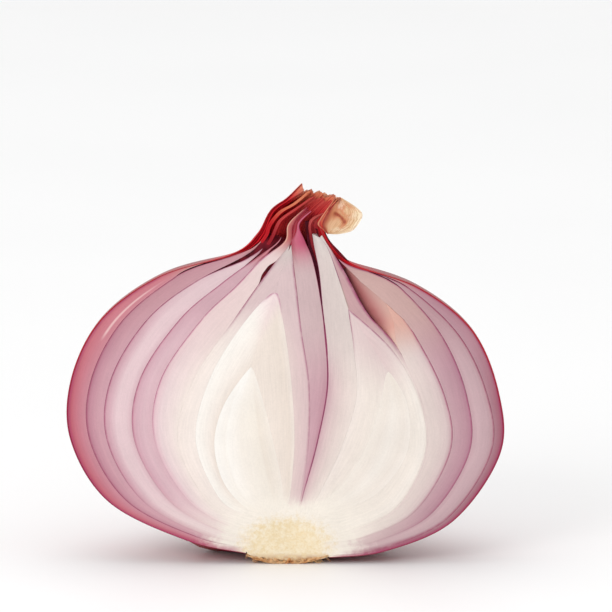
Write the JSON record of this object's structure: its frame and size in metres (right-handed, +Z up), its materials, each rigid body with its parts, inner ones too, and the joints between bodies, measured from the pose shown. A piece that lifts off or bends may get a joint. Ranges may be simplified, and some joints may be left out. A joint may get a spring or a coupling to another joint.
{
  "type": "halved red onion",
  "caption": "Red onion half, cut lengthwise through neck and root plate, with nested fleshy scales, paired hearts, papery skin and a curled dry neck.",
  "frame": {"origin": "on the surface that the half stands on, below the middle of its width and depth", "axes": "+X across the cut face to the right as seen facing it, +Y from the cut face to the rounded back, +Z up from root to neck"},
  "size_m": [0.0782, 0.0344, 0.0684],
  "materials": {
    "dry_skin": "thin crimson papery skin with lengthwise veins and a silky sheen",
    "outer_scale": "moist flesh, red at the outside and pink within",
    "mauve_scale": "moist flesh, mauve with a thin purple outer line",
    "pale_scale": "moist flesh, very pale pink",
    "heart": "moist flesh, cream white",
    "root_plate": "granular pale yellow stem tissue",
    "root_crust": "dry brown crust with root stubs",
    "dry_tip": "tan papery dry leaf"
  },
  "bodies": {
    "root": {"dry_skin": "dry_skin", "scale_1": "outer_scale", "scale_2": "mauve_scale", "scale_3": "pale_scale", "scale_4": "mauve_scale", "left_scale_1": "pale_scale", "left_scale_2": "pale_scale", "left_heart": "heart", "left_core": "heart", "right_scale_1": "pale_scale", "right_heart": "heart", "right_core": "heart", "root_plate": "root_plate", "root_crust": "root_crust", "neck_tip": "dry_tip"}
  },
  "joints": []
}
